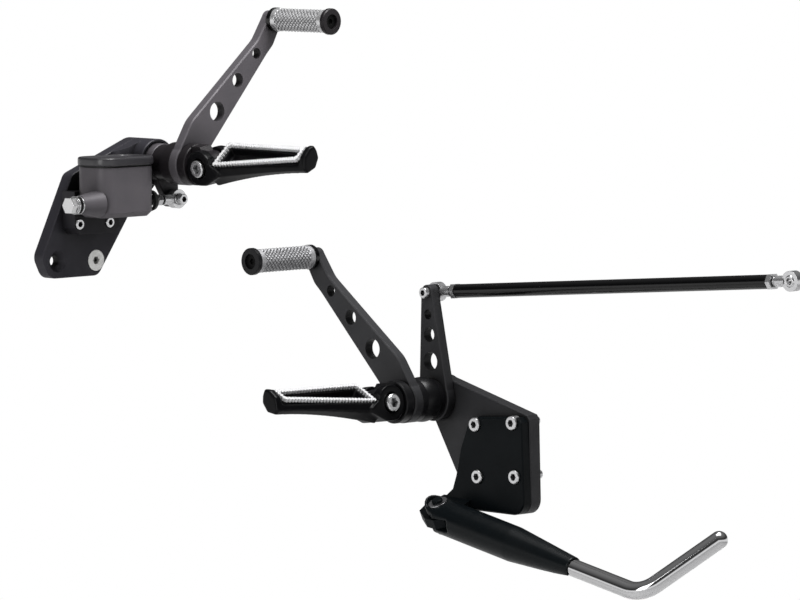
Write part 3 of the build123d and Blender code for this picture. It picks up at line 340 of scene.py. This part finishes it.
def knurledSleeve(nodeName, axis, finish):
    # Radius along a cylinder: the outer radius less a depth that follows the square of the higher of two
    # crossing spiral waves, which leaves diamond points; the band at each end has no depth
    low, high = (np.array(corner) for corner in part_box(nodeName))
    centre = (low + high) / 2
    length = high[axis] - low[axis]
    radius = (high[2] - low[2]) / 2
    around = round(2 * math.pi * radius / (knurl["pitchMm"] * mm))
    along = round(length / (knurl["pitchMm"] * mm))
    steps = around * knurl["samplesPerDiamond"]
    down, turned = np.meshgrid(np.linspace(0, 1, along * knurl["samplesPerDiamond"] + 1),
                               np.arange(steps) / steps, indexing="ij")
    first = np.abs(((down * along + turned * around) % 1) - 0.5) * 2
    second = np.abs(((down * along - turned * around) % 1) - 0.5) * 2
    toEnd = np.minimum(down, 1 - down) * length
    inBand = np.clip((toEnd - knurl["bandMm"] * mm) / (knurl["runOutMm"] * mm), 0, 1)
    depth = np.maximum(first, second) ** 2 * inBand
    radii = radius - knurl["depthMm"] * mm * depth - (toEnd == 0) * knurl["chamferMm"] * mm
    bore = np.full((1, steps), radius * knurl["boreShare"])
    radii = np.vstack([bore, radii, bore])
    down, turned, depth = (np.vstack([grid[:1], grid, grid[-1:]]) for grid in (down, turned, depth))
    side = 1 - axis
    turnWay = -1 if axis == 0 else 1  # both sleeves' faces are wound the same way, which is inwards
    angle = 2 * np.pi * turned
    points = np.zeros(radii.shape + (3,))
    points[..., axis] = centre[axis] + (down - 0.5) * length
    points[..., side] = centre[side] + radii * np.cos(angle)
    points[..., 2] = centre[2] + radii * np.sin(angle) * turnWay
    piece = tubeMesh(nodeName + "_knurled", points)
    # the groove depth, which the material turns into painted shade in the grooves
    groove = piece.data.attributes.new("grooveDepth", "FLOAT", "POINT")
    groove.data.foreach_set("value", depth.astype(np.float32).ravel())
    piece.data.materials.append(materials[finish])
    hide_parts(nodeName)
    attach(piece, bodyOf[nodeName])


# the shift side's sleeve takes the darker copy, painted shade against its lamp
knurledSleeve("shift_toe_sleeve", 0, "knurledChromeShadedCopy")
knurledSleeve("brake_toe_sleeve", 1, "knurledChrome")
print("toe sleeves knurled")


# Screw threads on the bare shanks

thread = {
    "pitchMm": 1.25, "ridgeMm": 0.4,  # the pitch of M8
    "sinkMm": 0.05,  # how far the thread's foot lies under the shank's surface
    "around": 32, "perTurn": 8,
    "fromEyeMm": 17.5, "toEyeMm": 21.0,  # where the shank is bare
    "shanks": (  # the rod end, its ball, its nut, and its shank's radius in mm
        ("front_rod_end", "front_rod_end_ball", "front_jam_nut", 4.0),
        ("rear_rod_end", "rear_rod_end_ball", "rear_jam_nut", 4.0),
        ("pushrod_end", "pushrod_end_ball", "pushrod_nut", 3.0)),
}


def threadOn(nodeName, start, end, radius):
    # Radius along a shank: a triangle wave whose phase grows by one for each pitch along and each turn
    # round, and which sinks into the shank at both ends
    length = np.linalg.norm(end - start)
    forward = (end - start) / length
    anyOtherWay = [0.3, 0.5, 0.81]  # any direction but the shank's own
    across = np.cross(forward, anyOtherWay)
    across /= np.linalg.norm(across)
    third = np.cross(forward, across)
    turns = length / (thread["pitchMm"] * mm)
    down, turned = np.meshgrid(np.linspace(0, 1, round(turns * thread["perTurn"]) + 1),
                               np.arange(thread["around"]) / thread["around"], indexing="ij")
    wave = 1 - np.abs(((down * turns + turned) % 1) * 2 - 1)
    fade = np.clip(np.minimum(down, 1 - down) * turns, 0, 1)
    root = radius - thread["sinkMm"] * mm
    radii = root + (thread["ridgeMm"] + thread["sinkMm"]) * mm * wave * fade
    angle = 2 * np.pi * turned
    circle = across * np.cos(angle)[..., None] + third * np.sin(angle)[..., None]
    points = start + forward * (down * length)[..., None] + circle * radii[..., None]
    piece = tubeMesh(nodeName + "_thread", points)
    piece.data.materials.append(materials["brightZincSteel"])
    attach(piece, bodyOf[nodeName])


for nodeName, ballName, nutName, radiusMm in thread["shanks"]:
    eye = np.mean(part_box(ballName), axis=0)
    nut = np.mean(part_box(nutName), axis=0)
    toNut = (nut - eye) / np.linalg.norm(nut - eye)
    start = eye + toNut * thread["fromEyeMm"] * mm
    end = eye + toNut * thread["toEyeMm"] * mm
    threadOn(nodeName, start, end, radiusMm * mm)
print("threads cut")


# Floor, backdrop, lamps and camera

low, high = cadBox
middle = (low + high) / 2
studio = {
    # Soft light from all round, stronger from above
    "glowStrength": 0.22, "glowFrom": 0.05, "glowTo": 0.6, "glowLow": 0.55,
    # What the camera and shiny metal see: white low down, then a dark wall and a grey ceiling over it
    "wallFrom": 0.05, "wallTo": 0.14, "wallGrey": 0.05,
    "ceilingFrom": 0.2, "ceilingTo": 0.9, "ceilingGrey": 0.25,
    "floorDrop": 0.3, "floorRadius": 1.7, "floorSides": 96, "floorColour": "#f0f0f0", "floorRoughness": 0.9,
}
lamps = {  # the photograph joins two shots, so each unit has a lamp of its own
    "topSoftbox": {
        "place": (-0.4, -0.35, 2.3), "aim": middle, "size": (2.2, 1.6), "watts": 20.0},
    "brakeSideSoftbox": {
        "place": (0.06, -0.12, 1.02), "aim": (-0.05, 0.25, 0.2), "size": (0.5, 0.4), "watts": 11.0},
    "shiftSideSoftbox": {
        "place": (-2.7, -0.4, 0.7), "aim": (-0.05, 0, 0), "size": (1.2, 1.6), "watts": 24.0},
}
cameraAt = {
    "place": (-3.63302, -3.56920, 0.53480), "azimuth": -45.0, "elevation": 5.0,
    "lensMm": 250.0, "sensorMm": 36.0,
}

world = bpy.data.worlds.new("studioWorld")
bpy.context.scene.world = world
world.use_nodes = True
worldTree = world.node_tree
direction = addNode(worldTree, "ShaderNodeTexCoord").outputs["Generated"]
height = addNode(worldTree, "ShaderNodeSeparateXYZ", None, Vector=direction).outputs["Z"]

glow = addNode(worldTree, "ShaderNodeMapRange", {
    "From Min": studio["glowFrom"], "From Max": studio["glowTo"], "To Min": studio["glowLow"],
    "To Max": 1.0}, Value=height)
roomLight = worldTree.nodes["Background"]
roomLight.inputs["Strength"].default_value = studio["glowStrength"]
worldTree.links.new(glow.outputs["Result"], roomLight.inputs["Color"])

wall = addNode(worldTree, "ShaderNodeMapRange", {
    "From Min": studio["wallFrom"], "From Max": studio["wallTo"], "To Min": 1.0,
    "To Max": studio["wallGrey"]}, Value=height)
ceiling = addNode(worldTree, "ShaderNodeMapRange", {
    "From Min": studio["ceilingFrom"], "From Max": studio["ceilingTo"], "To Min": 0.0,
    "To Max": studio["ceilingGrey"]}, Value=height)
surround = addNode(worldTree, "ShaderNodeMath", {"operation": "MAXIMUM"}, i0=wall.outputs["Result"],
                   i1=ceiling.outputs["Result"])
seenRoom = addNode(worldTree, "ShaderNodeBackground", None, Color=surround.outputs[0])

rays = addNode(worldTree, "ShaderNodeLightPath").outputs
mirrored = addNode(worldTree, "ShaderNodeMath", {"operation": "MAXIMUM"}, i0=rays["Is Glossy Ray"],
                   i1=rays["Is Transmission Ray"])
seen = addNode(worldTree, "ShaderNodeMath", {"operation": "MAXIMUM"}, i0=rays["Is Camera Ray"],
               i1=mirrored.outputs[0])
backdrop = addNode(worldTree, "ShaderNodeMixShader", None, i0=seen.outputs[0], i1=roomLight.outputs[0],
                   i2=seenRoom.outputs[0])
worldTree.links.new(backdrop.outputs[0], worldTree.nodes["World Output"].inputs["Surface"])

floorZ = low.z - studio["floorDrop"]
angles = np.linspace(0, 2 * np.pi, studio["floorSides"], endpoint=False)
reach = studio["floorRadius"]
rim = [(middle.x + reach * math.cos(angle), middle.y + reach * math.sin(angle), floorZ) for angle in angles]
floorMesh = bpy.data.meshes.new("floor")
floorMesh.from_pydata(rim, [], [tuple(range(len(rim)))])
floor = bpy.data.objects.new("floor", floorMesh)
bpy.context.scene.collection.objects.link(floor)
floorMaterial = bpy.data.materials.new("paintedFloor")  # matt paint: pale, with a soft shadow
floorMaterial.use_nodes = True
floorShader = floorMaterial.node_tree.nodes["Principled BSDF"]
floorShader.inputs["Base Color"].default_value = linearColour(studio["floorColour"])
floorShader.inputs["Roughness"].default_value = studio["floorRoughness"]
floorMesh.materials.append(floorMaterial)

for name, values in lamps.items():
    lampData = bpy.data.lights.new(name, "AREA")
    lampData.shape = "RECTANGLE"
    lampData.size, lampData.size_y = values["size"]
    lampData.energy = values["watts"]
    lamp = bpy.data.objects.new(name, lampData)
    bpy.context.scene.collection.objects.link(lamp)
    lamp.location = values["place"]
    lamp.rotation_mode = "QUATERNION"
    lamp.rotation_quaternion = (Vector(values["aim"]) - lamp.location).to_track_quat("-Z", "Y")

cameraData = bpy.data.cameras.new("camera")
cameraData.lens = cameraAt["lensMm"]
cameraData.sensor_width = cameraAt["sensorMm"]
camera = bpy.data.objects.new("camera", cameraData)
bpy.context.scene.collection.objects.link(camera)
camera.location = cameraAt["place"]
camera.rotation_euler = (math.radians(90 - cameraAt["elevation"]), 0, math.radians(cameraAt["azimuth"]))
bpy.context.scene.camera = camera
bpy.context.scene.view_settings.view_transform = "Standard"
print("studio ready")
